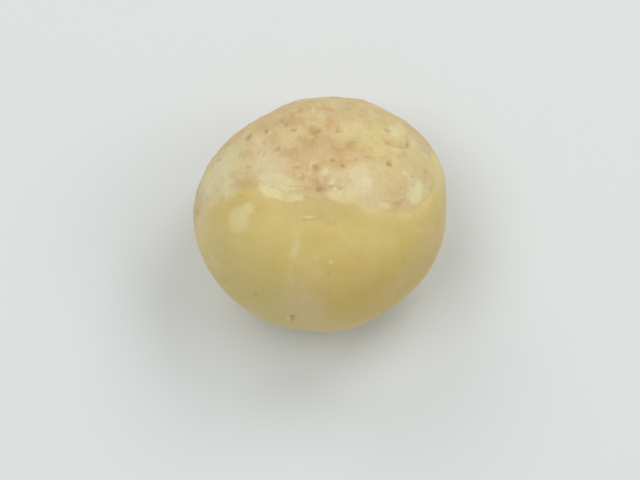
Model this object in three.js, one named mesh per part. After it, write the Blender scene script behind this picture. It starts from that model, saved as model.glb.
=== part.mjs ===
// A whole macadamia kernel out of its shell, lying on its side.
// Millimetres, +Z up. The origin is under the middle of the kernel's box, on the surface that it rests on.
//
// The kernel's own axis runs from the smooth, waxy end to the rough, pitted end, which points along +Y and
// a little up. Its face is the side that is seen from above. All markings are placed by the axis and face.
//
// The kernel grew as one piece, so it is one solid. Its surface is a formula: each direction from the
// kernel's centre has one radius, which is the body's radius plus the heights of a few kinds of relief.

import * as THREE from "three";
import { mergeVertices } from "three/addons/utils/BufferGeometryUtils.js";

// The body is an ellipsoid, turned a few degrees about +Z, with soft flats where the shell pressed on it.
const HALF_WIDTH = 10.3;
const HALF_LENGTH = 9.0;
const HALF_HEIGHT = 8.9;
const BODY_TURN = -5;
const FLAT_FIRMNESS = 9;
// A flat faces an azimuth from +X towards +Y, and an elevation, in degrees, at a distance from the centre.
const FLATS = [
  { place: "rough left shoulder", azimuth: 126, elevation: 5, distance: 9.93 },
  { place: "smooth right cheek", azimuth: 310, elevation: 5, distance: 8.6 },
  { place: "left flank", azimuth: 186, elevation: 5, distance: 11.7 },
  { place: "right flank", azimuth: 356, elevation: 5, distance: 9.47 },
  { place: "rough underside", azimuth: 70, elevation: -48, distance: 9.8 },
  { place: "left underside", azimuth: 205, elevation: -42, distance: 10.1 },
  { place: "bottom", azimuth: 0, elevation: -90, distance: 9.4 },
];

// The kernel rests on a small flat spot, this far below its centre.
const REST_DEPTH = 8.15;

// The kernel's axis rises by this many degrees towards the rough end.
const AXIS_RISE = 10;

// Broad, low swells all over, as waves that travel along a direction.
const SWELLS = [
  { along: [1.0, 0.35, 0.5], wavelength: 11.5, height: 0.05, phase: 0.6 },
  { along: [-0.45, 1.0, 0.3], wavelength: 9.3, height: 0.045, phase: 2.1 },
  { along: [0.3, -0.5, 1.0], wavelength: 10.4, height: 0.045, phase: 4.0 },
];
// The crests of all waves bend to and fro by this share of a wavelength.
const WAVE_BEND = 0.22;

// The two seed leaves meet in a plane through the centre. A shallow furrow marks it all round. The plane
// leans off the axis as seen on the face, and tips off the face's own direction, both in degrees.
const SEAM_LEAN = 11;
const SEAM_TIP = 8.5;
const FURROW_DEPTH = 0.1;
const FURROW_HALF_WIDTH = 1.6;

// The rough end is set below the smooth skin by a low step. Latitude is the angle towards the rough end,
// and longitude goes round the axis from the face towards +X, both in degrees. The step's line runs round
// at one latitude, with a few rises and dips.
const STEP_LATITUDE = 6;
const STEP_DROP = 0.15;
const STEP_HALF_WIDTH = 5.2;
const STEP_RISES = [
  { longitude: -41, height: 7.5, spread: 10 },
  { longitude: -88, height: -13, spread: 16 },
  { longitude: 34, height: -5.5, spread: 19 },
  { longitude: 77, height: 22, spread: 15 },
  { longitude: 128, height: -7, spread: 22 },
  { longitude: 196, height: 6, spread: 18 },
  { longitude: 236, height: -5, spread: 16 },
];

// Low lumps of the rough end.
const LUMPS = [
  { along: [1.0, 0.2, 0.4], wavelength: 4.6, height: 0.04, phase: 1.0 },
  { along: [-0.5, 0.3, 1.0], wavelength: 3.7, height: 0.03, phase: 3.3 },
  { along: [0.4, 1.0, -0.6], wavelength: 5.1, height: 0.04, phase: 5.2 },
  { along: [0.8, -0.7, 0.6], wavelength: 2.9, height: 0.025, phase: 0.2 },
];

// The larger pits of the face, at x to the right of the axis and y along it.
const PITS = [
  { x: -2.15, y: 3.15, radius: 0.8, depth: 0.12 },
  { x: -0.8, y: 3.5, radius: 0.65, depth: 0.15 },
  { x: -0.5, y: 1.8, radius: 0.6, depth: 0.17 },
  { x: 1.0, y: 3.85, radius: 0.8, depth: 0.13 },
  { x: 2.75, y: 4.2, radius: 0.7, depth: 0.09 },
  { x: 4.75, y: 3.8, radius: 0.6, depth: 0.14 },
  { x: -1.05, y: 6.4, radius: 0.85, depth: 0.16 },
  { x: -3.0, y: 6.95, radius: 0.75, depth: 0.12 },
  { x: -4.6, y: 6.35, radius: 0.65, depth: 0.13 },
  { x: -6.05, y: 5.85, radius: 0.65, depth: 0.15 },
  { x: 0.25, y: 6.75, radius: 0.6, depth: 0.1 },
  { x: -2.55, y: -7.75, radius: 0.6, depth: 0.13 },
];

// The same kind of pits all over the rough end, spread by the golden angle about the axis. Those that would
// fall on the face are left out. Each range goes from its least to its greatest value, and the heights are
// shares of the way from the centre to the rough end.
const SPREAD_PITS = 24;
const SPREAD_PIT_HEIGHT = [0.22, 0.97];
const SPREAD_PIT_RADIUS = [0.65, 0.95];
const SPREAD_PIT_DEPTH = [0.08, 0.17];
// A pit's wall has the form of a bell curve, this much narrower than the pit's radius.
const PIT_WALL = 0.6;

// A low blister near the right shoulder of the face, with a groove round its lower side. The groove starts a
// little above the blister's middle, and has its full depth a little below it.
const BLISTER = { x: 5.35, y: 6.1, radius: 1.0, height: 0.2 };
const GROOVE = { radius: 1.3, halfWidth: 0.42, depth: 0.19, start: 0.3, full: -0.6 };

// The germ's blunt tip, near the rough end's middle and turned away from the face by a few degrees.
const GERM = { turn: 34, radius: 1.9, height: 0.2 };

// Triangles along one edge of the icosahedron that the surface starts from. Its directions are drawn towards
// the rough part of the face, which needs the smallest triangles.
const EDGE_TRIANGLES = 23;
const DRAW = { latitude: 45, amount: 0.32 };

const KERNEL_COLOUR = 0xcdb77e;
const KERNEL_ROUGHNESS = 0.5;

const RADIANS = Math.PI / 180;
const FULL_TURN = 360;
const GOLDEN_ANGLE = 137.508;
const SETTLING_ROUNDS = 30;

const mix = ([low, high], share) => low + (high - low) * share;
const hill = (distance, radius) => Math.exp(-((distance / radius) ** 2));

// Rises from 0 at one value to 1 at another, with level ends.
function smoothstep(from, to, value) {
  const t = Math.min(1, Math.max(0, (value - from) / (to - from)));
  return t * t * (3 - 2 * t);
}

// The same angle between -180 and 180 degrees.
function halfTurns(degrees) {
  return degrees - FULL_TURN * Math.round(degrees / FULL_TURN);
}

// The direction with this azimuth from +X towards +Y, and this elevation.
function facing(azimuth, elevation) {
  const a = azimuth * RADIANS;
  const e = elevation * RADIANS;
  return new THREE.Vector3(Math.cos(a) * Math.cos(e), Math.sin(a) * Math.cos(e), Math.sin(e));
}

const side = new THREE.Vector3(1, 0, 0);
const axis = facing(90, AXIS_RISE);
const face = side.clone().cross(axis);

// A vector from its parts to the right of the axis, along it, and out of the face.
function fromAxis(right, along, out) {
  return side.clone().multiplyScalar(right).addScaledVector(axis, along).addScaledVector(face, out);
}

function fromLatitude(latitude, longitude) {
  const a = latitude * RADIANS;
  const o = longitude * RADIANS;
  return fromAxis(Math.cos(a) * Math.sin(o), Math.sin(a), Math.cos(a) * Math.cos(o));
}

// A number from 0 to 1 that looks random and is the same each time.
function scattered(index, salt) {
  const wide = Math.sin(index * 12.9898 + salt * 78.233) * 43758.5453;
  return wide - Math.floor(wide);
}

const flats = FLATS.map((flat) => ({
  normal: facing(flat.azimuth, flat.elevation),
  distance: flat.distance,
}));

// The body's radius in a direction. The high power lets the nearest flat, or else the ellipsoid, set it.
function bodyRadius(u) {
  const turn = BODY_TURN * RADIANS;
  const across = u.x * Math.cos(turn) + u.y * Math.sin(turn);
  const along = u.y * Math.cos(turn) - u.x * Math.sin(turn);
  const ellipsoid = Math.hypot(across / HALF_WIDTH, along / HALF_LENGTH, u.z / HALF_HEIGHT);
  let sum = ellipsoid ** FLAT_FIRMNESS;
  for (const flat of flats) {
    sum += (Math.max(0, u.dot(flat.normal)) / flat.distance) ** FLAT_FIRMNESS;
  }
  return sum ** (-1 / FLAT_FIRMNESS);
}

// The summed height of a list of waves. Each one's crests are bent by a second wave that crosses it.
function waves(list, point) {
  return list.reduce((total, { along: [x, y, z], wavelength, height, phase }) => {
    const travel = new THREE.Vector3(x, y, z).normalize().dot(point) / wavelength;
    const drift = new THREE.Vector3(y, z, x).normalize().dot(point) / wavelength;
    const bend = WAVE_BEND * Math.sin(2 * Math.PI * drift + 2 * phase);
    return total + height * Math.sin(2 * Math.PI * (travel + bend) + phase);
  }, 0);
}

// How far a direction is inside the rough end: 0 on the smooth skin, 1 past the step.
function roughShare(u) {
  const latitude = Math.asin(u.dot(axis)) / RADIANS;
  const longitude = Math.atan2(u.dot(side), u.dot(face)) / RADIANS;
  let line = STEP_LATITUDE;
  for (const rise of STEP_RISES) {
    line += rise.height * hill(halfTurns(longitude - rise.longitude), rise.spread);
  }
  return smoothstep(line - STEP_HALF_WIDTH, line + STEP_HALF_WIDTH, latitude);
}

// The point of the body at x and y on its face.
function onFace({ x, y }) {
  let out = HALF_HEIGHT;
  for (let round = 0; round < SETTLING_ROUNDS; round += 1) {
    const radius = bodyRadius(fromAxis(x, y, out).normalize());
    out = Math.sqrt(Math.max(0, radius ** 2 - x ** 2 - y ** 2));
  }
  return fromAxis(x, y, out);
}

function onBody(direction) {
  return direction.clone().multiplyScalar(bodyRadius(direction));
}

const facePits = PITS.map((pit) => ({ ...pit, centre: onFace(pit) }));
const spreadPits = Array.from({ length: SPREAD_PITS }, (_, index) => {
  const height = mix(SPREAD_PIT_HEIGHT, (index + scattered(index, 1)) / SPREAD_PITS);
  return {
    centre: onBody(fromLatitude(Math.asin(height) / RADIANS, index * GOLDEN_ANGLE)),
    radius: mix(SPREAD_PIT_RADIUS, scattered(index, 2)),
    depth: mix(SPREAD_PIT_DEPTH, scattered(index, 3)),
  };
}).filter((pit) => pit.centre.dot(face) < 0);
const pits = [...facePits, ...spreadPits];

const blister = onFace(BLISTER);
const germ = onBody(fromLatitude(90 - GERM.turn, 180));
const seamNormal = fromLatitude(-SEAM_LEAN, 90 - SEAM_TIP);

// The relief's height over the body, at a point of the body and its direction.
function relief(u, point) {
  let height = waves(SWELLS, point);
  height += roughShare(u) * (waves(LUMPS, point) - STEP_DROP);
  height -= FURROW_DEPTH * hill(seamNormal.dot(point), FURROW_HALF_WIDTH);
  for (const pit of pits) {
    height -= pit.depth * hill(point.distanceTo(pit.centre), PIT_WALL * pit.radius);
  }
  const fromBlister = point.distanceTo(blister);
  height += BLISTER.height * hill(fromBlister, BLISTER.radius);
  const below = smoothstep(GROOVE.start, GROOVE.full, point.clone().sub(blister).dot(axis));
  height -= below * GROOVE.depth * hill(fromBlister - GROOVE.radius, GROOVE.halfWidth);
  return height + GERM.height * hill(point.distanceTo(germ), GERM.radius);
}

// The kernel's surface about its own centre, with the flat spot that it rests on.
function kernelGeometry() {
  const ball = new THREE.IcosahedronGeometry(1, EDGE_TRIANGLES - 1);
  ball.deleteAttribute("normal");
  ball.deleteAttribute("uv");
  const geometry = mergeVertices(ball);
  const position = geometry.getAttribute("position");
  const draw = fromLatitude(DRAW.latitude, 0).multiplyScalar(DRAW.amount);
  const u = new THREE.Vector3();
  const point = new THREE.Vector3();
  for (let i = 0; i < position.count; i += 1) {
    u.fromBufferAttribute(position, i).normalize().add(draw).normalize();
    point.copy(u).multiplyScalar(bodyRadius(u));
    point.addScaledVector(u, relief(u, point));
    position.setXYZ(i, point.x, point.y, Math.max(point.z, -REST_DEPTH));
  }
  geometry.computeVertexNormals();
  return geometry;
}

const kernel = new THREE.Mesh(
  kernelGeometry(),
  new THREE.MeshStandardMaterial({ color: KERNEL_COLOUR, roughness: KERNEL_ROUGHNESS, metalness: 0 }),
);
kernel.name = "kernel";
kernel.geometry.computeBoundingBox();
const middle = kernel.geometry.boundingBox.getCenter(new THREE.Vector3());
kernel.position.set(-middle.x, -middle.y, REST_DEPTH);

const macadamiaKernel = new THREE.Group();
macadamiaKernel.add(kernel);

export default macadamiaKernel;
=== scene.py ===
import math
from typing import NamedTuple

import bpy
import numpy as np
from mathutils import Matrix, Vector, noise


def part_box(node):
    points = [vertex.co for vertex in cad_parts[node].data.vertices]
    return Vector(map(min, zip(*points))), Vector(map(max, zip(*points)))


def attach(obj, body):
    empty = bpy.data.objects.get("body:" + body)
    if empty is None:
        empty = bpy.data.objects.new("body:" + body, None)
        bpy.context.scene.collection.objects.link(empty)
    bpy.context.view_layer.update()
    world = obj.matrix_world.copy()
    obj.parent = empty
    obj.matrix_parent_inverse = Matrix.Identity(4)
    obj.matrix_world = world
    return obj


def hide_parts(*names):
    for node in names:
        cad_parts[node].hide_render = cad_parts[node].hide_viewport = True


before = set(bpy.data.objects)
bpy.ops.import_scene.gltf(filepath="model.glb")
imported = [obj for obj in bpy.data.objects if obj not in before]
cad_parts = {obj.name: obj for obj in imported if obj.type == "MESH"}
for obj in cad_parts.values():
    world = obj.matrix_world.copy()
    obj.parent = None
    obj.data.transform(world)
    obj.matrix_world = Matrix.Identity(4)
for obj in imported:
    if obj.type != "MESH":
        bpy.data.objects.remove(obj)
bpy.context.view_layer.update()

# A whole macadamia kernel out of its shell, lying on its side. Its shape is worked out in millimetres about
# the kernel's own centre, and goes into the frame in metres. The kernel's own axis runs from the smooth, waxy
# end to the rough, pitted end. Its face is the side that is seen from above.
METRES = 0.001

# The body is an ellipsoid, turned a few degrees about +Z, with soft flats where the shell pressed on it. A
# flat has an azimuth from +X towards +Y and an elevation, in degrees, and a distance from the centre.
HALF_WIDTH = 10.3
HALF_LENGTH = 9.0
HALF_HEIGHT = 8.9
BODY_TURN = -5
FLAT_FIRMNESS = 9
FLATS = [
    (126, 5, 9.93),
    (310, 5, 8.6),
    (186, 5, 11.7),
    (356, 5, 9.47),
    (70, -48, 9.8),
    (205, -42, 10.1),
    (0, -90, 9.4),
]
REST_DEPTH = 8.15
AXIS_RISE = 10

# Waves: the direction that they travel, wavelength, height and phase. Their crests bend to and fro.
SWELLS = [
    ((1.0, 0.35, 0.5), 11.5, 0.05, 0.6),
    ((-0.45, 1.0, 0.3), 9.3, 0.045, 2.1),
    ((0.3, -0.5, 1.0), 10.4, 0.045, 4.0),
]
LUMPS = [
    ((1.0, 0.2, 0.4), 4.6, 0.04, 1.0),
    ((-0.5, 0.3, 1.0), 3.7, 0.03, 3.3),
    ((0.4, 1.0, -0.6), 5.1, 0.04, 5.2),
    ((0.8, -0.7, 0.6), 2.9, 0.025, 0.2),
]
WAVE_BEND = 0.22

# The seam between the two seed leaves: a broad furrow with a hairline in it, which is faint on the face. The
# face fades out between two cosines of the angle from its middle.
SEAM_LEAN = 11
SEAM_TIP = 8.5
FURROW_DEPTH = 0.1
FURROW_HALF_WIDTH = 1.6
HAIRLINE_DEPTH = 0.03
HAIRLINE_HALF_WIDTH = 0.13
HAIRLINE_ON_FACE = 0.3
FACE_EDGE = (-0.15, 0.2)

# The step down to the rough end. A rise of its line has a longitude, a height and a spread, in degrees. Part
# of the drop is a sharp, ragged ledge.
STEP_LATITUDE = 6
STEP_DROP = 0.15
STEP_HALF_WIDTH = 5.2
STEP_RISES = [
    (-41, 7.5, 10),
    (-88, -13, 16),
    (34, -5.5, 19),
    (77, 22, 15),
    (128, -7, 22),
    (196, 6, 18),
    (236, -5, 16),
]
LEDGE_SHARE = 0.35
LEDGE_HALF_WIDTH = 1.3
LEDGE_RAGGEDNESS = 2.4

# Broad pits of the face: x to the right of the axis, y along it, radius and depth.
BROAD_PITS = [
    (-2.15, 3.15, 0.8, 0.12),
    (-0.8, 3.5, 0.65, 0.15),
    (-0.5, 1.8, 0.6, 0.17),
    (1.0, 3.85, 0.8, 0.13),
    (2.75, 4.2, 0.7, 0.09),
    (4.75, 3.8, 0.6, 0.14),
    (-1.05, 6.4, 0.85, 0.16),
    (-3.0, 6.95, 0.75, 0.12),
    (-4.6, 6.35, 0.65, 0.13),
    (-6.05, 5.85, 0.65, 0.15),
    (0.25, 6.75, 0.6, 0.1),
    (-2.55, -7.75, 0.6, 0.13),
]
SPREAD_PITS = 24
SPREAD_PIT_HEIGHT = (0.22, 0.97)
SPREAD_PIT_RADIUS = (0.65, 0.95)
SPREAD_PIT_DEPTH = (0.08, 0.17)
PIT_WALL = 0.6
GOLDEN_ANGLE = 137.508

# The blister at x and y on the face, with its radius and height, and the groove round its lower side. A fine
# line runs along the groove's bottom.
BLISTER = (5.35, 6.1)
BLISTER_RADIUS = 1.0
BLISTER_HEIGHT = 0.2
GROOVE_RADIUS = 1.3
GROOVE_HALF_WIDTH = 0.42
GROOVE_DEPTH = 0.19
GROOVE_START = 0.3
GROOVE_FULL = -0.6
GROOVE_LINE_DEPTH = 0.05
GROOVE_LINE_HALF_WIDTH = 0.17
GERM_TURN = 34
GERM_RADIUS = 1.9
GERM_HEIGHT = 0.2


class Oval(NamedTuple):
    """A mark at x and y of the face. It leans anticlockwise in degrees, and its strength is 0 to 1."""

    x: float
    y: float
    half_width: float
    half_length: float
    lean: float
    strength: float


# Small pits, brown and darkened with painted shade. The strength says how dark and how deep each one is.
SMALL_PITS = [
    (-6.0, 5.9, 0.16, 0.22, -20, 0.8),
    (-4.65, 6.4, 0.2, 0.2, 0, 0.75),
    (-3.25, 6.95, 0.24, 0.14, 15, 0.35),
    (-2.65, 7.3, 0.2, 0.18, 0, 0.3),
    (-2.0, 7.75, 0.14, 0.22, 0, 0.35),
    (-2.35, 6.3, 0.22, 0.12, 0, 0.35),
    (-1.0, 6.4, 0.42, 0.22, 0, 0.45),
    (-1.65, 5.6, 0.16, 0.14, 0, 0.3),
    (-1.15, 5.2, 0.2, 0.2, 30, 0.25),
    (-3.8, 4.9, 0.42, 0.12, 24, 0.3),
    (-2.9, 4.55, 0.15, 0.12, 0, 0.25),
    (-8.3, 4.2, 0.15, 0.2, -30, 0.5),
    (-2.25, 3.45, 0.26, 0.1, 10, 0.65),
    (-2.47, 3.1, 0.1, 0.26, 0, 0.55),
    (-2.0, 2.76, 0.12, 0.1, 0, 0.45),
    (-0.85, 3.5, 0.17, 0.2, 0, 0.7),
    (-1.85, 2.75, 0.14, 0.2, 20, 0.3),
    (-0.68, 1.8, 0.16, 0.11, -15, 0.75),
    (-6.5, 1.4, 0.2, 0.1, 0, 0.5),
    (-0.55, 6.25, 0.13, 0.11, 0, 0.3),
    (0.85, 6.4, 0.2, 0.2, 0, 0.65),
    (0.25, 5.75, 0.18, 0.1, 0, 0.25),
    (2.2, 5.45, 0.42, 0.14, 8, 0.2),
    (2.95, 4.35, 0.28, 0.1, -6, 0.7),
    (2.3, 4.1, 0.14, 0.13, 0, 0.6),
    (3.55, 4.1, 0.22, 0.1, 0, 0.45),
    (0.5, 4.05, 0.24, 0.15, -20, 0.9),
    (1.22, 3.68, 0.15, 0.12, 0, 0.95),
    (4.75, 3.8, 0.2, 0.18, 0, 0.85),
    (6.5, 2.85, 0.16, 0.13, 0, 0.75),
    (0.35, 2.0, 0.17, 0.1, 0, 0.65),
    (1.0, 1.9, 0.14, 0.1, 0, 0.6),
    (7.45, 5.0, 0.12, 0.16, 20, 0.5),
    (4.72, 6.35, 0.2, 0.14, -20, 0.45),
    (6.15, 5.33, 0.14, 0.12, 0, 0.7),
    (4.6, 5.5, 0.16, 0.12, -30, 0.5),
    (-1.65, -0.4, 0.14, 0.1, 0, 0.6),
    (-2.6, -7.85, 0.17, 0.2, 0, 0.9),
    (-5.25, -6.05, 0.09, 0.16, 0, 0.6),
    (-9.7, 0.15, 0.12, 0.2, 0, 0.7),
    (-9.85, -0.95, 0.12, 0.2, 0, 0.9),
    (-7.6, -4.85, 0.22, 0.26, 20, 0.3),
    (-0.8, -6.85, 0.1, 0.1, 0, 0.5),
    (0.1, -4.45, 0.1, 0.1, 0, 0.35),
    (1.75, -0.55, 0.1, 0.1, 0, 0.4),
    (-5.88, 3.53, 0.3, 0.12, 20, 0.35),
    (-6.46, 4.51, 0.2, 0.18, 0, 0.3),
    (-7.2, 2.86, 0.2, 0.15, 0, 0.3),
    (-8.92, -0.13, 0.08, 0.08, 0, 0.5),
    (-8.0, 2.75, 0.15, 0.12, 0, 0.25),
    (5.92, 2.86, 0.14, 0.08, 0, 0.5),
]
# A pit's depth and its rim's height, as shares of its size, then the rim's place and width in pit radii
PIT_CORE = 0.6
PIT_RIM = 0.2
PIT_RIM_PLACE = 1.8
PIT_RIM_WIDTH = 0.55

# Raised knobs and rims among the pits. Here the strength is the height.
KNOBS = [
    (-0.9, 3.88, 0.28, 0.1, 12, 0.11),
    (-1.2, 3.6, 0.1, 0.22, 0, 0.09),
    (-2.3, 3.72, 0.3, 0.1, 10, 0.06),
    (-2.2, 3.08, 0.12, 0.2, 0, 0.06),
    (-1.9, 3.05, 0.08, 0.3, -20, 0.05),
    (-0.12, 3.1, 0.4, 0.32, 0, 0.12),
    (0.52, 2.53, 0.3, 0.26, 0, 0.09),
    (0.95, 3.0, 0.26, 0.22, 0, 0.06),
    (0.2, 2.25, 0.26, 0.15, 0, 0.06),
    (-0.45, 2.5, 0.22, 0.22, 0, 0.06),
    (1.27, 2.2, 0.22, 0.19, 0, 0.06),
    (1.72, 2.05, 0.22, 0.19, 0, 0.05),
    (0.05, 4.2, 0.19, 0.19, 0, 0.05),
    (-1.3, 5.85, 0.3, 0.2, 0, 0.05),
    (-1.0, 6.85, 0.4, 0.14, 0, 0.06),
    (0.55, 1.85, 0.15, 0.13, 0, 0.05),
    (5.45, 4.95, 0.42, 0.2, 0, 0.08),
]
KNOB_FULL_HEIGHT = 0.14

# Cream patches.
CREAM_PATCHES = [
    (-3.8, 2.5, 1.3, 0.5, -12, 0.9),
    (-4.6, 3.6, 1.6, 1.1, 10, 0.65),
    (-2.35, 1.45, 0.5, 0.3, -10, 0.5),
    (2.65, 2.6, 1.0, 1.15, 20, 0.95),
    (1.95, 1.85, 0.7, 0.45, 0, 0.8),
    (3.15, 1.7, 1.3, 0.5, -8, 0.4),
    (6.85, 1.6, 0.5, 0.7, 0, 0.8),
    (5.6, 1.3, 0.3, 0.07, 0, 0.6),
    (6.3, 2.6, 0.4, 0.4, 0, 0.45),
    (-5.2, 5.75, 0.7, 0.6, 0, 0.5),
    (-4.9, 5.0, 0.8, 0.6, 0, 0.5),
    (-6.95, 4.85, 0.6, 0.35, 0, 0.5),
    (-6.3, 5.4, 1.4, 0.6, 50, 0.35),
    (-7.9, 3.3, 1.0, 1.2, 0, 0.85),
    (-6.6, 3.2, 1.0, 0.9, 0, 0.4),
    (-7.25, 1.8, 0.9, 0.5, 0, 0.55),
    (-9.0, 2.0, 0.7, 1.1, 0, 0.8),
    (-8.4, 2.4, 0.9, 0.9, 0, 0.5),
    (4.45, 0.65, 0.35, 0.25, 0, 0.7),
    (3.2, 0.45, 0.8, 0.3, -8, 0.45),
    (5.35, 6.4, 0.7, 0.6, 0, 0.5),
    (2.2, 6.3, 1.3, 0.8, 0, 0.2),
    (-0.15, 3.15, 0.36, 0.36, 0, 0.8),
    (0.62, 1.6, 0.55, 0.32, -10, 0.65),
    (1.4, 2.75, 0.5, 0.4, 0, 0.45),
    (2.6, 3.8, 0.3, 0.25, 0, 0.4),
    (4.0, 3.35, 0.3, 0.3, 0, 0.4),
    (6.55, 5.5, 0.2, 0.55, 20, 0.5),
    (-9.3, -0.6, 0.4, 1.6, 0, 0.35),
]

# Lemon patches, where a pale yellow lip of skin ends.
LEMON_PATCHES = [
    (-4.2, 1.68, 0.95, 0.37, -21, 0.95),
    (-3.2, 1.3, 1.0, 0.28, -8, 0.42),
    (-3.8, 2.5, 1.4, 0.55, -12, 0.9),
    (1.12, 1.25, 1.27, 0.37, -12, 0.6),
    (2.7, 0.88, 1.05, 0.3, -10, 0.42),
    (3.45, 6.05, 1.27, 0.9, 0, 0.35),
    (4.5, 4.85, 0.97, 0.6, 0, 0.4),
    (2.02, 6.5, 1.05, 0.6, 0, 0.4),
    (8.09, 3.2, 0.52, 1.5, 0, 0.5),
    (-2.3, -2.6, 0.3, 0.7, -8, 0.6),
    (-4.6, -2.5, 2.6, 2.0, 0, 0.12),
    (-8.3, 2.55, 1.1, 1.1, 0, 0.9),
    (-7.3, 3.9, 1.2, 0.9, 40, 0.5),
    (6.8, 1.55, 0.6, 0.75, 0, 1.0),
    (1.8, 1.45, 0.65, 0.45, 0, 0.6),
    (5.36, 6.35, 0.67, 0.6, 0, 0.7),
    (5.9, 3.9, 2.2, 1.7, 0, 0.2),
    (7.5, 1.5, 0.35, 0.6, 0, 0.4),
    (-3.7, 2.0, 0.9, 0.4, -15, 0.7),
]
# The first two stand up a little, as lips, and get a painted highlight along them
LIPS = LEMON_PATCHES[:2]
LIP_HEIGHT = 0.03

# Scraps of pale skin that lie on the smooth skin, then faint, soft marks in it.
SCRAPS = [
    (-6.43, -0.33, 0.66, 0.92, -20, 0.8),
    (-5.88, 0.37, 0.42, 0.5, -40, 0.85),
    (0.33, -3.45, 0.16, 0.15, 0, 0.5),
    (-2.87, -7.84, 0.13, 0.2, 0, 0.6),
    (4.05, 0.65, 0.22, 0.22, 0, 0.4),
]
SCRAP_HEIGHT = 0.02
FAINT_MARKS = [
    (-2.3, -2.57, 0.3, 0.75, -8, 0.35),
    (-2.1, -1.82, 0.19, 0.45, 10, 0.3),
    (-2.77, -4.59, 0.25, 0.97, 0, 0.25),
    (-1.87, -6.39, 1.15, 1.3, 0, 0.25),
    (-0.97, -7.22, 0.97, 0.82, 0, 0.25),
    (-2.55, -5.1, 0.25, 0.5, 0, 0.35),
    (-1.72, -5.35, 0.5, 0.16, -35, 0.35),
    (-2.25, -7.0, 0.3, 0.25, 0, 0.3),
    (-8.09, -3.67, 0.3, 0.22, 0, 0.4),
    (-8.47, -3.1, 0.15, 0.37, 25, 0.3),
    (-0.75, -3.1, 0.22, 0.25, 0, 0.25),
    (-0.67, -4.26, 0.34, 0.22, 0, 0.2),
    (5.96, -0.13, 0.49, 0.3, -15, 0.3),
    (6.8, -1.15, 0.4, 0.12, -20, 0.4),
]

# Orange-brown patches.
RUSSET_PATCHES = [
    (-0.4, 5.8, 0.75, 0.7, 0, 0.5),
    (0.2, 7.1, 0.3, 1.0, 0, 0.5),
    (1.2, 3.75, 0.8, 0.5, 0, 0.75),
    (0.9, 4.7, 1.0, 0.9, 0, 0.35),
    (-0.6, 4.6, 1.2, 1.0, 0, 0.45),
    (-1.05, 5.2, 0.8, 0.8, 0, 0.7),
    (0.0, 4.9, 0.7, 0.7, 0, 0.4),
    (5.8, 0.65, 0.8, 0.45, 0, 0.15),
    (5.65, 1.85, 0.6, 0.5, 0, 0.2),
    (8.05, 2.55, 0.35, 1.0, 0, 0.4),
    (-9.5, 0.2, 0.25, 0.6, 0, 0.4),
    (-4.15, 7.1, 1.9, 0.8, 25, 0.3),
    (-1.9, 4.1, 1.5, 0.9, 0, 0.4),
    (-1.1, 2.4, 0.6, 0.5, 0, 0.35),
    (8.24, -2.65, 0.37, 1.5, -15, 0.3),
    (-6.1, 2.7, 0.8, 0.8, 0, 0.2),
    (7.5, -1.8, 0.8, 1.5, 0, 0.16),
    (-6.1, -5.6, 2.8, 1.1, -45, 0.12),
    (0.2, 3.6, 1.6, 2.6, 0, 0.3),
]

# Rosy places. The long one along the bottom rim is painted bounce light, lighter and redder.
ROSY_PATCHES = [
    (0.5, -8.5, 3.6, 0.6, 0, 0.25),
    (-9.6, -0.4, 0.35, 1.1, 0, 0.5),
    (1.8, 3.3, 0.5, 0.5, 0, 0.6),
    (0.75, 1.4, 0.6, 0.35, 0, 0.4),
    (-3.1, 3.2, 0.7, 0.8, 0, 0.3),
    (4.9, 3.0, 0.8, 0.6, 0, 0.2),
    (6.4, 3.1, 0.5, 0.5, 0, 0.2),
    (6.6, 5.7, 0.3, 0.6, 0, 0.5),
    (5.4, 5.15, 0.5, 0.2, 0, 0.6),
    (-5.2, 5.2, 0.9, 0.7, 0, 0.35),
    (-9.4, 0.75, 0.3, 0.6, 0, 0.4),
    (-0.6, 4.2, 0.6, 0.5, 0, 0.3),
    (-1.8, -6.2, 1.5, 1.9, 0, 0.4),
    (-1.35, -6.25, 0.9, 0.55, 0, 0.5),
    (-5.95, -0.6, 0.28, 0.4, 0, 0.4),
]

# Deeper yellow places.
DEEP_PATCHES = [
    (3.8, -6.2, 4.0, 2.0, 15, 0.7),
    (-0.6, -1.6, 0.9, 1.8, 0, 0.2),
    (1.8, -4.2, 2.0, 1.1, 0, 0.4),
    (-4.1, -3.2, 0.9, 1.0, 0, 0.1),
    (-4.4, 0.5, 2.8, 0.8, 0, 0.22),
    (8.6, -2.2, 1.1, 2.5, 0, 0.7),
    (7.6, -4.0, 2.3, 0.9, 60, 0.8),
    (6.8, -4.8, 1.6, 2.0, -20, 0.65),
    (5.8, -5.5, 2.2, 0.8, 45, 0.9),
    (3.3, 5.8, 1.4, 1.0, 0, 0.3),
    (-6.0, 2.5, 0.8, 0.9, 0, 0.3),
]

# Duller, olive places. The wide ones just below the step are painted shade, which darkens the top of the
# smooth skin where light falls most.
OLIVE_AND_SHADE_PATCHES = [
    (-0.2, 0.5, 3.2, 0.9, -4, 0.45),
    (-4.6, 0.9, 2.0, 0.8, 0, 0.15),
    (-6.0, 1.7, 0.9, 0.6, 0, 0.1),
    (3.2, -0.3, 2.2, 0.7, -8, 0.2),
    (-1.05, 5.3, 0.8, 0.8, 0, 0.3),
    (0.3, 4.9, 0.8, 0.9, 0, 0.3),
    (-3.1, 4.5, 0.6, 0.35, 0, 0.35),
    (1.9, 5.5, 0.7, 0.35, 8, 0.35),
    (-1.6, 5.45, 0.5, 0.35, 0, 0.35),
    (5.9, 3.9, 2.2, 1.7, 0, 0.1),
    (-6.0, 2.3, 1.0, 0.6, 0, 0.3),
    (-7.95, -2.8, 1.3, 1.3, 0, 0.15),
]
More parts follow.
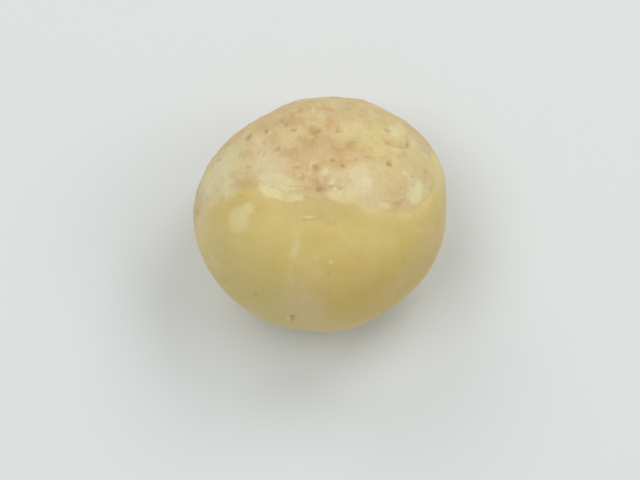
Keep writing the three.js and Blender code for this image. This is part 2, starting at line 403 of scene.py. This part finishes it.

# Pale grains that stick up, then one flake on the smooth skin, which gets a painted highlight, and one fine
# crack.
GRAINS = [
    (0.33, 2.32, 0.14, 0.12, 0, 1.0),
    (1.1, 1.65, 0.16, 0.1, 10, 1.0),
    (5.9, 3.1, 0.15, 0.13, 0, 1.0),
    (7.45, 4.45, 0.13, 0.18, 30, 0.8),
    (3.7, 6.35, 0.1, 0.1, 0, 0.7),
    (0.6, 1.85, 0.13, 0.15, 0, 1.0),
    (2.83, 1.68, 0.12, 0.1, 0, 0.6),
    (-1.3, 3.05, 0.1, 0.08, 0, 0.5),
    (-2.05, 2.9, 0.12, 0.08, 0, 0.4),
    (-4.3, 6.2, 0.15, 0.1, 20, 0.6),
    (0.4, 3.05, 0.1, 0.08, 0, 0.5),
    (-0.98, 7.9, 0.1, 0.22, 0, 0.7),
    (6.85, 1.65, 0.4, 0.6, 0, 0.5),
]
GRAIN_HEIGHT = 0.04
FLAKE = Oval(-1.35, -0.25, 0.42, 0.1, 4, 1.0)
FLAKE_HEIGHT = 0.05
CRACK = Oval(-2.4, 2.1, 0.45, 0.06, 3, 1.0)
CRACK_DEPTH = 0.04

# Marks of the face end softly below this height towards the viewer, where the skin turns away from sight. The
# reach is the least one.
HORIZON = 1.0
HORIZON_REACH = 0.8

# Marks that are spread over the sides that the face doesn't show: how many there are of a kind, the salt that
# tells it from other kinds, and the ranges of the rise along the axis, the half width and the strength.
HIDDEN_PITS = (80, 4, (0.1, 0.99), (0.12, 0.4), (0.3, 0.9))
HIDDEN_CREAMS = (46, 10, (0.0, 0.97), (0.3, 1.6), (0.3, 0.9))
HIDDEN_RUSSETS = (26, 20, (0.1, 0.99), (0.4, 1.5), (0.3, 0.8))
# Their middles are below this height, their lengths are between these shares of their widths, and they end
# softly between these distances from their middles.
HIDDEN_TOP = 1.5
HIDDEN_ASPECT = (0.5, 1.6)
HIDDEN_REACH = (1.0, 2.0)

# Noise with lumps of four sizes makes edges waver, and covers the skin with fine relief. Each octave is finer
# than the one before by the step, and weaker by the step to the power of the fade.
COARSE_LUMP = 1.9
MEDIUM_LUMP = 0.8
SMALL_LUMP = 0.38
TINY_LUMP = 0.2
OCTAVE_STEP = 2.1
OCTAVE_FADE = 0.9

# Where the skin turns rough, in degrees past the step's ragged line, and what its relief is made of. Pale
# patches are smoother by a share. Painted shade in a recess is darkest where it is half of the hollow span
# deep.
ROUGH_START = -3.0
ROUGH_FULL = 4.0
PLATE_HEIGHT = 0.035
CREASE_SPACING = 1.25
CREASE_WIDTH = 0.3
CREASE_DEPTH = 0.03
ROUGH_MEDIUM_HEIGHT = 0.028
ROUGH_SMALL_HEIGHT = 0.02
ROUGH_TINY_HEIGHT = 0.007
SMOOTH_MEDIUM_HEIGHT = 0.012
SMOOTH_SMALL_HEIGHT = 0.004
PALE_SMOOTHNESS = 0.6
HOLLOW_SPAN = 0.1

# The surface is sampled on a cube's cells, drawn towards the rough part of the face.
CELLS = 128
DRAW_LATITUDE = 45
DRAW_AMOUNT = 0.35

# Colours of the skin, in sRGB from 0 to 255.
COLOURS = {
    "belly": (220, 199, 120),
    "belly_pale": (225, 203, 131),
    "belly_dull": (214, 197, 115),
    "belly_warm": (228, 207, 142),
    "cap": (212, 182, 125),
    "cap_pale": (220, 201, 149),
    "cap_warm": (221, 197, 147),
    "cap_dark": (204, 171, 115),
    "plates": (222, 203, 153),
    "deep": (214, 182, 86),
    # orange-brown, and painted shade in the groove below the blister
    "russet_and_groove_shade": (208, 165, 114),
    # olive tone, and painted shade just below the step
    "olive_and_shade": (192, 172, 108),
    # rosy tone, and painted bounce light along the bottom rim
    "rosy_and_bounce_light": (230, 198, 150),
    "lemon": (234, 224, 155),
    "cream": (231, 219, 178),
    "seam": (190, 165, 104),
    # painted shade in the recesses of the rough end
    "recess_shade": (190, 152, 102),
    # brown of pits, the crack and the groove's line, partly painted shade
    "pit": (162, 134, 86),
    # pale grains, and painted highlight on the flake and the lips
    "pale_grain_and_highlight": (236, 226, 176),
    "speckle": (186, 158, 102),
    "dark_grain": (182, 148, 98),
    "pale_grain": (236, 224, 178),
}

# The skin's finish: its roughness at the smooth and the rough end, how it bends and scatters light, how far
# red, green and blue light travel in it, and the bump of its finest grain.
SMOOTH_END_FINISH = 0.42
ROUGH_END_FINISH = 0.62
SKIN_IOR = 1.47
SCATTER_SHARE = 0.35
SCATTER_REACH = (1.2, 0.8, 0.35)
BUMP_STRENGTH = 0.6
BUMP_HEIGHT = 0.02

# A plain pale floor. Its half width is in metres.
FLOOR_HALF = 0.4
FLOOR_COLOUR = (0.785, 0.815, 0.815, 1)
FLOOR_ROUGHNESS = 0.9
FLOOR_SPECULAR = 0.2

# Soft light: an even sky, and round lamps that point at the kernel. A lamp has an azimuth, an elevation, a
# diameter in metres and a power in watts.
SKY_COLOUR = (1.0, 1.0, 1.0, 1)
SKY_STRENGTH = 0.385
LAMP_TARGET = Vector((0, 0, 8 * METRES))
LAMP_DISTANCE = 0.6
LAMPS = {
    "lamp_upper_right": (50, 51, 0.3, 0.8),
    "lamp_upper_left": (120, 46, 0.3, 0.5),
    "lamp_right": (0, 51, 0.3, 0.47),
    "lamp_overhead": (180, 70, 0.3, 0.77),
}

# The camera looks down on the face from far off, as in the photo. Its lens and sensor are in millimetres.
CAMERA_TARGET = Vector((0, -2.0, REST_DEPTH)) * METRES
CAMERA_ELEVATION = 80
CAMERA_DISTANCE = 0.35
LENS = 262.6
SENSOR_WIDTH = 36


def facing(azimuth, elevation):
    """The direction at this azimuth, from +X towards +Y, and elevation."""
    a = math.radians(azimuth)
    e = math.radians(elevation)
    return np.array([math.cos(a) * math.cos(e), math.sin(a) * math.cos(e), math.sin(e)])


def unit(vector):
    vector = np.asarray(vector, float)
    return vector / np.linalg.norm(vector)


SIDE = facing(0, 0)
AXIS = facing(90, AXIS_RISE)
FACE = np.cross(SIDE, AXIS)


def from_axis(right, along, out):
    """The point this far to the right of the axis, along it, and out towards the face."""
    return right * SIDE + along * AXIS + out * FACE


def from_latitude(latitude, longitude):
    """The direction at this latitude, which is 90 at the rough end, and longitude, which is 0 on the face."""
    a = math.radians(latitude)
    o = math.radians(longitude)
    return from_axis(math.cos(a) * math.sin(o), math.sin(a), math.cos(a) * math.cos(o))


def smoothstep(start, end, value):
    """An S-curve: 0 up to the start, and 1 from the end."""
    t = np.clip((value - start) / (end - start), 0, 1)
    return t * t * (3 - 2 * t)


def hill(distance, radius):
    """A bell curve: 1 in the middle, and just over a third at the radius."""
    return np.exp(-((distance / radius) ** 2))


def between(ends, share):
    return ends[0] + (ends[1] - ends[0]) * share


def scattered(index, salt):
    """A share from 0 to 1 that looks random, and is the same each run."""
    wide = math.sin(index * 12.9898 + salt * 78.233) * 43758.5453
    return wide - math.floor(wide)


def apart(points, centre):
    return np.linalg.norm(points - centre, axis=1)


def lumps(points, size, salt, octaves=2):
    """Smooth noise of about -1 to 1 at each point, with lumps of this size in millimetres."""
    shift = Vector((3.7 * salt, -5.1 * salt, 7.9 * salt))
    places = [Vector(point) + shift for point in points / size]
    return np.array([noise.fractal(place, OCTAVE_FADE, OCTAVE_STEP, octaves) for place in places])


def body_radius(u):
    """How far the ellipsoid with its flats reaches in each direction."""
    turn = math.radians(BODY_TURN)
    across = u[:, 0] * math.cos(turn) + u[:, 1] * math.sin(turn)
    along = u[:, 1] * math.cos(turn) - u[:, 0] * math.sin(turn)
    scaled = np.stack([across / HALF_WIDTH, along / HALF_LENGTH, u[:, 2] / HALF_HEIGHT])
    total = np.linalg.norm(scaled, axis=0) ** FLAT_FIRMNESS
    for azimuth, elevation, distance in FLATS:
        total += (np.maximum(0, u @ facing(azimuth, elevation)) / distance) ** FLAT_FIRMNESS
    return total ** (-1 / FLAT_FIRMNESS)


def waves(table, points):
    """The height of all waves of a table at each point."""
    total = np.zeros(len(points))
    for (x, y, z), wavelength, height, phase in table:
        travel = points @ unit((x, y, z)) / wavelength
        drift = points @ unit((y, z, x)) / wavelength
        bend = WAVE_BEND * np.sin(2 * math.pi * drift + 2 * phase)
        total += height * np.sin(2 * math.pi * (travel + bend) + phase)
    return total


def above_step(u):
    """How many degrees of latitude a direction is past the step's line."""
    latitude = np.degrees(np.arcsin(np.clip(u @ AXIS, -1, 1)))
    longitude = np.degrees(np.arctan2(u @ SIDE, u @ FACE))
    line = np.full(len(u), float(STEP_LATITUDE))
    for place, height, spread in STEP_RISES:
        away = longitude - place
        line += height * hill(away - 360 * np.round(away / 360), spread)
    return latitude - line


def on_face(x, y):
    """The body's point that is seen at x and y of the face, found step by step."""
    out = HALF_HEIGHT
    for _ in range(30):
        radius = body_radius(unit(from_axis(x, y, out))[None])[0]
        out = math.sqrt(max(0, radius**2 - x**2 - y**2))
    return from_axis(x, y, out)


def on_body(direction):
    return direction * body_radius(direction[None])[0]


SEAM_NORMAL = from_latitude(-SEAM_LEAN, 90 - SEAM_TIP)
BLISTER_CENTRE = on_face(*BLISTER)
GERM_CENTRE = on_body(from_latitude(90 - GERM_TURN, 180))


def all_broad_pits():
    """The centre, radius and depth of the face's broad pits, and of those spread over the other sides."""
    pits = [(on_face(x, y), radius, depth) for x, y, radius, depth in BROAD_PITS]
    for index in range(SPREAD_PITS):
        rise = between(SPREAD_PIT_HEIGHT, (index + scattered(index, 1)) / SPREAD_PITS)
        centre = on_body(from_latitude(math.degrees(math.asin(rise)), index * GOLDEN_ANGLE))
        if centre @ FACE < 0:
            radius = between(SPREAD_PIT_RADIUS, scattered(index, 2))
            pits.append((centre, radius, between(SPREAD_PIT_DEPTH, scattered(index, 3))))
    return pits


def groove(points, half_width):
    """The groove below the blister: 0 away from it, and 1 along its middle."""
    below = smoothstep(-GROOVE_START, -GROOVE_FULL, -((points - BLISTER_CENTRE) @ AXIS))
    return below * hill(apart(points, BLISTER_CENTRE) - GROOVE_RADIUS, half_width)


def broad_relief(points, past):
    """The heights that the solid part has too, but for the step's drop, and the share of that drop."""
    share = smoothstep(-STEP_HALF_WIDTH, STEP_HALF_WIDTH, past)
    height = waves(SWELLS, points) + share * waves(LUMPS, points)
    height -= FURROW_DEPTH * hill(points @ SEAM_NORMAL, FURROW_HALF_WIDTH)
    for centre, radius, depth in all_broad_pits():
        height -= depth * hill(apart(points, centre), PIT_WALL * radius)
    height += BLISTER_HEIGHT * hill(apart(points, BLISTER_CENTRE), BLISTER_RADIUS)
    height -= GROOVE_DEPTH * groove(points, GROOVE_HALF_WIDTH)
    return height + GERM_HEIGHT * hill(apart(points, GERM_CENTRE), GERM_RADIUS), share


def face_spots(table):
    """The ovals of a table, each with None for its place: they are on the face."""
    return [(Oval(*row), None) for row in table]


def hidden_spots(count, salt, rises, widths, strengths):
    """Ovals on the sides that the face doesn't show, each with its place: its centre, right and up."""
    spots = []
    for index in range(count):
        rise = between(rises, (index + scattered(index, salt)) / count)
        longitude = index * GOLDEN_ANGLE + 70 * scattered(index, salt + 1)
        centre = on_body(from_latitude(math.degrees(math.asin(rise)), longitude))
        if centre @ FACE < HIDDEN_TOP:
            width = between(widths, scattered(index, salt + 2) ** 2)
            length = width * between(HIDDEN_ASPECT, scattered(index, salt + 3))
            lean = 180 * scattered(index, salt + 4)
            right = unit(np.cross(AXIS, centre))
            up = unit(np.cross(centre, right))
            spot = Oval(0, 0, width, length, lean, between(strengths, scattered(index, salt + 5)))
            spots.append((spot, (centre, right, up)))
    return spots


def away_from(points, spot, place=None):
    """How far points are from an oval's middle: 1 is its edge."""
    if place is None:
        dx = points @ SIDE - spot.x
        dy = points @ AXIS - spot.y
        reach = max(HORIZON_REACH, 1.2 * max(spot.half_width, spot.half_length))
        behind = np.maximum(0, HORIZON - points @ FACE) / reach
    else:
        centre, right, up = place
        dx = (points - centre) @ right
        dy = (points - centre) @ up
        behind = 6 * smoothstep(*HIDDEN_REACH, apart(points, centre))
    lean = math.radians(spot.lean)
    across = (dx * math.cos(lean) + dy * math.sin(lean)) / spot.half_width
    along = (dy * math.cos(lean) - dx * math.sin(lean)) / spot.half_length
    return np.hypot(across, along) + behind


def cube_cells():
    """The points of a cube's surface, in even cells as seen from its middle, and the cells' corners."""
    steps = np.tan(np.linspace(-1, 1, CELLS + 1) * math.pi / 4)
    a, b = np.meshgrid(steps, steps, indexing="ij")
    grids = []
    for turn in range(3):
        for parts in ((a, b, np.ones_like(a)), (b, a, -np.ones_like(a))):
            grids.append(np.roll(np.stack(parts, -1), turn, -1).reshape(-1, 3))
    points, index = np.unique(np.round(np.concatenate(grids), 9), axis=0, return_inverse=True)
    corners = []
    for grid in index.reshape(6, CELLS + 1, CELLS + 1):
        cells = np.stack([grid[:-1, :-1], grid[1:, :-1], grid[1:, 1:], grid[:-1, 1:]], -1)
        corners.append(cells.reshape(-1, 4))
    return points, np.concatenate(corners)


# The kernel's surface: the body and its broad relief
cube, cells = cube_cells()
u = cube / np.linalg.norm(cube, axis=1)[:, None] + DRAW_AMOUNT * from_latitude(DRAW_LATITUDE, 0)
u /= np.linalg.norm(u, axis=1)[:, None]
body = u * body_radius(u)[:, None]
past = above_step(u)
height, share = broad_relief(body, past)

coarse = lumps(body, COARSE_LUMP, 1)
medium = lumps(body, MEDIUM_LUMP, 2)
small = lumps(body, SMALL_LUMP, 3)
tiny = lumps(body, TINY_LUMP, 4, 1)

# The step's line is ragged, and part of its drop is a sharp ledge
ragged = past + LEDGE_RAGGEDNESS * (0.7 * coarse + 0.5 * medium + 0.25 * small)
ledge = smoothstep(-LEDGE_HALF_WIDTH, LEDGE_HALF_WIDTH, ragged)
height -= STEP_DROP * (share + LEDGE_SHARE * (ledge - share))
rough = smoothstep(ROUGH_START, ROUGH_FULL, ragged)
seen = smoothstep(*FACE_EDGE, u @ FACE)


def patches(spots, waver, soft, wander=0.25):
    """The strongest of many ovals with soft, wavering edges, from 0 to 1."""
    total = np.zeros(len(u))
    for spot, place in spots:
        away = away_from(body, spot, place)
        away = away * (1 + waver * (0.7 * medium + 0.5 * small)) + wander * coarse
        total = np.maximum(total, spot.strength * smoothstep(1 + soft, 1 - soft, away))
    return total


cream = patches(face_spots(CREAM_PATCHES) + hidden_spots(*HIDDEN_CREAMS), waver=0.5, soft=0.7)
lemon = patches(face_spots(LEMON_PATCHES), waver=0.4, soft=0.5)
russet_and_groove_shade = patches(face_spots(RUSSET_PATCHES) + hidden_spots(*HIDDEN_RUSSETS), waver=0.6, soft=0.7)
deep = patches(face_spots(DEEP_PATCHES), waver=0.4, soft=0.95, wander=0.5)
rosy_and_bounce_light = patches(face_spots(ROSY_PATCHES), waver=0.5, soft=0.8, wander=0.45)
olive_and_shade = patches(face_spots(OLIVE_AND_SHADE_PATCHES), waver=0.3, soft=0.8)

# The crust of the rough end is in thin plates with low cliffs, with creases and grain
plates = smoothstep(-0.08, 0.14, coarse + 0.45 * medium + 0.2 * small + 0.05)
creases = np.clip(1 - np.abs(lumps(body, CREASE_SPACING, 6, 3)) / CREASE_WIDTH, 0, 1) ** 2
fine = PLATE_HEIGHT * plates - CREASE_DEPTH * creases
fine += ROUGH_MEDIUM_HEIGHT * medium
fine += ROUGH_SMALL_HEIGHT * small
fine += ROUGH_TINY_HEIGHT * tiny
fine *= rough * (1 - PALE_SMOOTHNESS * np.maximum(cream, lemon))
fine += (1 - rough) * (SMOOTH_MEDIUM_HEIGHT * medium + SMOOTH_SMALL_HEIGHT * small)

# Small pits with raised, uneven rims, coloured partly brown and partly with painted shade
pit = np.zeros(len(u))
for spot, place in face_spots(SMALL_PITS) + hidden_spots(*HIDDEN_PITS):
    away = away_from(body, spot, place)
    near = away < 4
    away = away[near] * (1 + 0.5 * medium[near] + 0.5 * small[near])
    size = spot.strength * math.sqrt(spot.half_width * spot.half_length)
    rim = PIT_RIM * hill(away - PIT_RIM_PLACE, PIT_RIM_WIDTH)
    fine[near] -= size * (PIT_CORE * hill(away, 1.0) - rim)
    pit[near] = np.maximum(pit[near], spot.strength * smoothstep(1.6, 0.2, away))

# Knobs, lips, scraps of skin and faint marks
knobs = np.zeros(len(u))
for spot, place in face_spots(KNOBS):
    knobs += spot.strength * hill(away_from(body, spot) * (1 + 0.3 * small), 1.0)
fine += knobs
cream = np.maximum(cream, np.minimum(1, knobs / KNOB_FULL_HEIGHT))
lips = patches(face_spots(LIPS), waver=0.3, soft=0.35)
fine += LIP_HEIGHT * lips
scraps = patches(face_spots(SCRAPS), waver=0.25, soft=0.6, wander=0.1)
fine += SCRAP_HEIGHT * scraps
lemon = np.maximum(lemon, scraps)
faint = patches(face_spots(FAINT_MARKS), waver=0.5, soft=0.8, wander=0.2)
cream = np.maximum(cream, np.maximum(0.5 * scraps, faint))

# Grains, the flake, the crack and the line along the groove; the crack and the line are darkened with painted
# shade
grains = patches(face_spots(GRAINS), waver=0.8, soft=0.5, wander=0.0)
fine += GRAIN_HEIGHT * grains
flake = smoothstep(1.3, 0.8, away_from(body, FLAKE) * (1 + 0.5 * small + 0.3 * medium))
fine += FLAKE_HEIGHT * flake
# Pale grains, and painted highlight on the flake and on the lips
pale_grain_and_highlight = np.maximum(grains, np.maximum(0.5 * flake, 0.7 * lips))
crack = smoothstep(1.3, 0.5, away_from(body, CRACK) * (1 + 0.3 * small))
fine -= CRACK_DEPTH * crack
line = groove(body, GROOVE_LINE_HALF_WIDTH * (1 + 0.5 * medium))
fine -= GROOVE_LINE_DEPTH * line
pit = np.maximum(pit, np.maximum(0.5 * crack, 0.2 * line))
# The groove below the blister is tinted orange-brown, partly as painted shade
russet_and_groove_shade = np.maximum(russet_and_groove_shade, 0.25 * groove(body, GROOVE_HALF_WIDTH))

# The seam's hairline, and where the relief is low, which gets painted shade
seam = hill(body @ SEAM_NORMAL + 0.1 * coarse + 0.04 * medium, HAIRLINE_HALF_WIDTH)
seam *= smoothstep(-0.25, 0.15, lumps(body, 2.4, 7)) * (1 - (1 - HAIRLINE_ON_FACE) * seen)
fine -= HAIRLINE_DEPTH * seam
recess_shade = np.clip(0.5 - fine / HOLLOW_SPAN, 0, 1)

# The points go into the frame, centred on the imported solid, with the rest spot on the floor
points = u * (np.linalg.norm(body, axis=1) + height + fine)[:, None]
points[:, 2] = np.maximum(points[:, 2], -REST_DEPTH)
low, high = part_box("kernel")
middle = (low + high) / 2 / METRES
level = np.array([1, 1, 0])
points += np.array(middle) * level - (points.max(0) + points.min(0)) / 2 * level
points[:, 2] += REST_DEPTH

mesh = bpy.data.meshes.new("kernel_look")
mesh.from_pydata(points * METRES, [], cells.tolist())
mesh.polygons.foreach_set("use_smooth", np.ones(len(cells), bool))
masks = {
    "rough": rough,
    "pit": pit,
    "cream": cream,
    "lemon": lemon,
    "russet_and_groove_shade": russet_and_groove_shade,
    "rosy_and_bounce_light": rosy_and_bounce_light,
    "olive_and_shade": olive_and_shade,
    "deep": deep,
    "seam": seam,
    "recess_shade": recess_shade,
    "plates": plates,
    "pale_grain_and_highlight": pale_grain_and_highlight,
}
for name, values in masks.items():
    attribute = mesh.attributes.new(name, "FLOAT", "POINT")
    attribute.data.foreach_set("value", values.astype(np.float32))
mesh.update()


def add_object(name, data):
    made = bpy.data.objects.new(name, data)
    bpy.context.scene.collection.objects.link(made)
    return made


def linear(*srgb):
    shares = [c / 255 for c in srgb]
    return tuple(c / 12.92 if c <= 0.04045 else ((c + 0.055) / 1.055) ** 2.4 for c in shares) + (1.0,)


class Nodes:
    """Short calls that add nodes to a material and join them."""

    def __init__(self, material):
        material.use_nodes = True
        self.tree = material.node_tree
        self.tree.nodes.clear()
        self.place = self.add("ShaderNodeTexCoord").outputs["Object"]

    def add(self, kind, settings=None, **inputs):
        made = self.tree.nodes.new(kind)
        for name, value in (settings or {}).items():
            setattr(made, name, value)
        for name, value in inputs.items():
            self.put(made.inputs[name.replace("_", " ")], value)
        return made

    def put(self, socket, value):
        if isinstance(value, bpy.types.NodeSocket):
            self.tree.links.new(value, socket)
        else:
            socket.default_value = value

    def mask(self, name):
        return self.add("ShaderNodeAttribute", {"attribute_name": name}).outputs["Fac"]

    def noise(self, size, detail=3.0, roughness=0.55, at=0.0):
        shift = (at * METRES, -2 * at * METRES, 3 * at * METRES)
        place = self.add("ShaderNodeMapping", Vector=self.place, Location=shift).outputs["Vector"]
        made = self.add("ShaderNodeTexNoise", Vector=place, Scale=1 / (size * METRES), Detail=detail,
                        Roughness=roughness)
        return made.outputs["Fac"]

    def ramp(self, value, start, end, low=0.0, high=1.0):
        made = self.add("ShaderNodeMapRange", {"interpolation_type": "SMOOTHSTEP"}, Value=value)
        for name, number in (("From Min", start), ("From Max", end), ("To Min", low), ("To Max", high)):
            self.put(made.inputs[name], number)
        return made.outputs["Result"]

    def math(self, operation, a, b):
        made = self.add("ShaderNodeMath", {"operation": operation})
        self.put(made.inputs[0], a)
        self.put(made.inputs[1], b)
        return made.outputs["Value"]

    def times(self, a, b):
        return self.math("MULTIPLY", a, b)

    def mix(self, share, a, b):
        made = self.add("ShaderNodeMix", {"data_type": "RGBA", "clamp_factor": True})
        self.put(made.inputs[0], share)
        self.put(made.inputs[6], a)
        self.put(made.inputs[7], b)
        return made.outputs[2]


def kernel_material():
    material = bpy.data.materials.new("kernel_skin")
    paint = {name: linear(*srgb) for name, srgb in COLOURS.items()}
    n = Nodes(material)
    broad = n.noise(5.0, 2.0)
    blotch = n.noise(1.6, 4.0, 0.6, 3.0)
    mottle = n.noise(0.55, 4.0, 0.6, 5.0)
    cluster = n.noise(0.9, 3.0, 0.5, 7.0)
    speckle = n.noise(0.13, 3.0, 0.6, 9.0)
    grain = n.noise(0.07, 2.0, 0.5, 11.0)

    belly = n.mix(n.ramp(broad, 0.38, 0.62), paint["belly"], paint["belly_pale"])
    belly = n.mix(n.ramp(blotch, 0.45, 0.7, 0, 0.35), belly, paint["belly_dull"])
    belly = n.mix(n.ramp(mottle, 0.5, 0.75, 0, 0.2), belly, paint["belly_warm"])

    cap = n.mix(n.ramp(blotch, 0.35, 0.65), paint["cap"], paint["cap_pale"])
    cap = n.mix(n.ramp(mottle, 0.42, 0.68, 0, 0.5), cap, paint["cap_warm"])
    cap = n.mix(n.ramp(cluster, 0.5, 0.72, 0, 0.4), cap, paint["cap_dark"])
    cap = n.mix(n.times(n.mask("plates"), 0.3), cap, paint["plates"])

    colour = n.mix(n.mask("rough"), belly, cap)
    colour = n.mix(n.mask("deep"), colour, paint["deep"])
    # Orange-brown patches, and painted shade in the groove below the blister
    russet_and_groove_shade = n.times(n.mask("russet_and_groove_shade"), n.ramp(mottle, 0.3, 0.6, 0.4, 1.0))
    colour = n.mix(russet_and_groove_shade, colour, paint["russet_and_groove_shade"])
    # Olive tone, and painted shade just below the step
    colour = n.mix(n.mask("olive_and_shade"), colour, paint["olive_and_shade"])
    # Rosy tone, and painted bounce light along the bottom rim
    colour = n.mix(n.mask("rosy_and_bounce_light"), colour, paint["rosy_and_bounce_light"])
    lemon = n.times(n.mask("lemon"), n.ramp(mottle, 0.35, 0.6, 0.7, 1.0))
    colour = n.mix(lemon, colour, paint["lemon"])
    cream = n.times(n.mask("cream"), n.ramp(mottle, 0.35, 0.6, 0.65, 1.0))
    colour = n.mix(cream, colour, paint["cream"])
    colour = n.mix(n.times(n.mask("seam"), 0.25), colour, paint["seam"])
    # Painted shade: the recesses of the rough end are darker
    recess_shade_share = n.times(n.ramp(n.mask("recess_shade"), 0.55, 1.0), n.mask("rough"))
    colour = n.mix(n.times(recess_shade_share, 0.3), colour, paint["recess_shade"])
    # Pits, the crack and the groove's line: partly brown, partly painted shade
    colour = n.mix(n.times(n.mask("pit"), 0.4), colour, paint["pit"])
    # Pale grains, and painted highlight on the flake and the lips
    colour = n.mix(n.times(n.mask("pale_grain_and_highlight"), 0.7), colour, paint["pale_grain_and_highlight"])
    colour = n.mix(n.ramp(speckle, 0.35, 0.7, 0, 0.1), colour, paint["speckle"])
    sandy = n.times(n.mask("rough"), n.ramp(cluster, 0.4, 0.65, 0.15, 1.0))
    sandy = n.times(sandy, n.ramp(n.mask("cream"), 0.0, 1.0, 1.0, 0.5))
    colour = n.mix(n.times(n.ramp(grain, 0.56, 0.68, 0, 0.22), sandy), colour, paint["dark_grain"])
    colour = n.mix(n.times(n.ramp(grain, 0.44, 0.32, 0, 0.25), sandy), colour, paint["pale_grain"])

    finish = n.ramp(n.mask("rough"), 0.0, 1.0, SMOOTH_END_FINISH, ROUGH_END_FINISH)
    finish = n.math("ADD", finish, n.ramp(mottle, 0.3, 0.7, -0.05, 0.06))

    height = n.math("ADD", n.ramp(speckle, 0.2, 0.8), n.ramp(mottle, 0.2, 0.8, 0, 2.0))
    height = n.math("ADD", height, n.ramp(grain, 0.7, 0.3, 0, 0.4))
    height = n.times(height, n.ramp(n.mask("rough"), 0.0, 1.0, 0.25, 1.0))
    bump = n.add("ShaderNodeBump", Strength=BUMP_STRENGTH, Distance=BUMP_HEIGHT * METRES, Height=height)

    skin = n.add("ShaderNodeBsdfPrincipled", Base_Color=colour, Roughness=finish)
    n.put(skin.inputs["Normal"], bump.outputs["Normal"])
    n.put(skin.inputs["IOR"], SKIN_IOR)
    n.put(skin.inputs["Subsurface Weight"], SCATTER_SHARE)
    n.put(skin.inputs["Subsurface Radius"], SCATTER_REACH)
    n.put(skin.inputs["Subsurface Scale"], METRES)
    out = n.add("ShaderNodeOutputMaterial")
    n.put(out.inputs["Surface"], skin.outputs["BSDF"])
    return material


mesh.materials.append(kernel_material())
kernel = add_object("kernel_look", mesh)
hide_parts("kernel")
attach(kernel, "root")


def floor_material():
    material = bpy.data.materials.new("floor_paper")
    material.use_nodes = True
    paper = material.node_tree.nodes["Principled BSDF"]
    paper.inputs["Base Color"].default_value = FLOOR_COLOUR
    paper.inputs["Roughness"].default_value = FLOOR_ROUGHNESS
    paper.inputs["Specular IOR Level"].default_value = FLOOR_SPECULAR
    return material


def add_floor():
    corners = [(x * FLOOR_HALF, y * FLOOR_HALF, 0) for x, y in ((-1, -1), (1, -1), (1, 1), (-1, 1))]
    flat = bpy.data.meshes.new("floor")
    flat.from_pydata(corners, [], [(0, 1, 2, 3)])
    flat.materials.append(floor_material())
    return add_object("floor", flat)


def add_sky():
    world = bpy.data.worlds.new("sky")
    bpy.context.scene.world = world
    world.use_nodes = True
    background = world.node_tree.nodes["Background"]
    background.inputs["Color"].default_value = SKY_COLOUR
    background.inputs["Strength"].default_value = SKY_STRENGTH


def add_lamp(name, azimuth, elevation, diameter, power):
    light = bpy.data.lights.new(name, "AREA")
    light.shape = "DISK"
    light.size = diameter
    light.energy = power
    lamp = add_object(name, light)
    lamp.location = LAMP_TARGET + Vector(facing(azimuth, elevation)) * LAMP_DISTANCE
    lamp.rotation_euler = (LAMP_TARGET - lamp.location).to_track_quat("-Z", "Y").to_euler()


def add_camera():
    view = bpy.data.cameras.new("camera")
    view.lens = LENS
    view.sensor_width = SENSOR_WIDTH
    view.clip_start = 0.01
    view.clip_end = 10
    view.dof.use_dof = False
    camera = add_object("camera", view)
    camera.location = CAMERA_TARGET + Vector(facing(-90, CAMERA_ELEVATION)) * CAMERA_DISTANCE
    camera.rotation_euler = (math.radians(90 - CAMERA_ELEVATION), 0, 0)
    bpy.context.scene.camera = camera


add_floor()
add_sky()
for name, settings in LAMPS.items():
    add_lamp(name, *settings)
add_camera()
bpy.context.scene.view_settings.view_transform = "Standard"
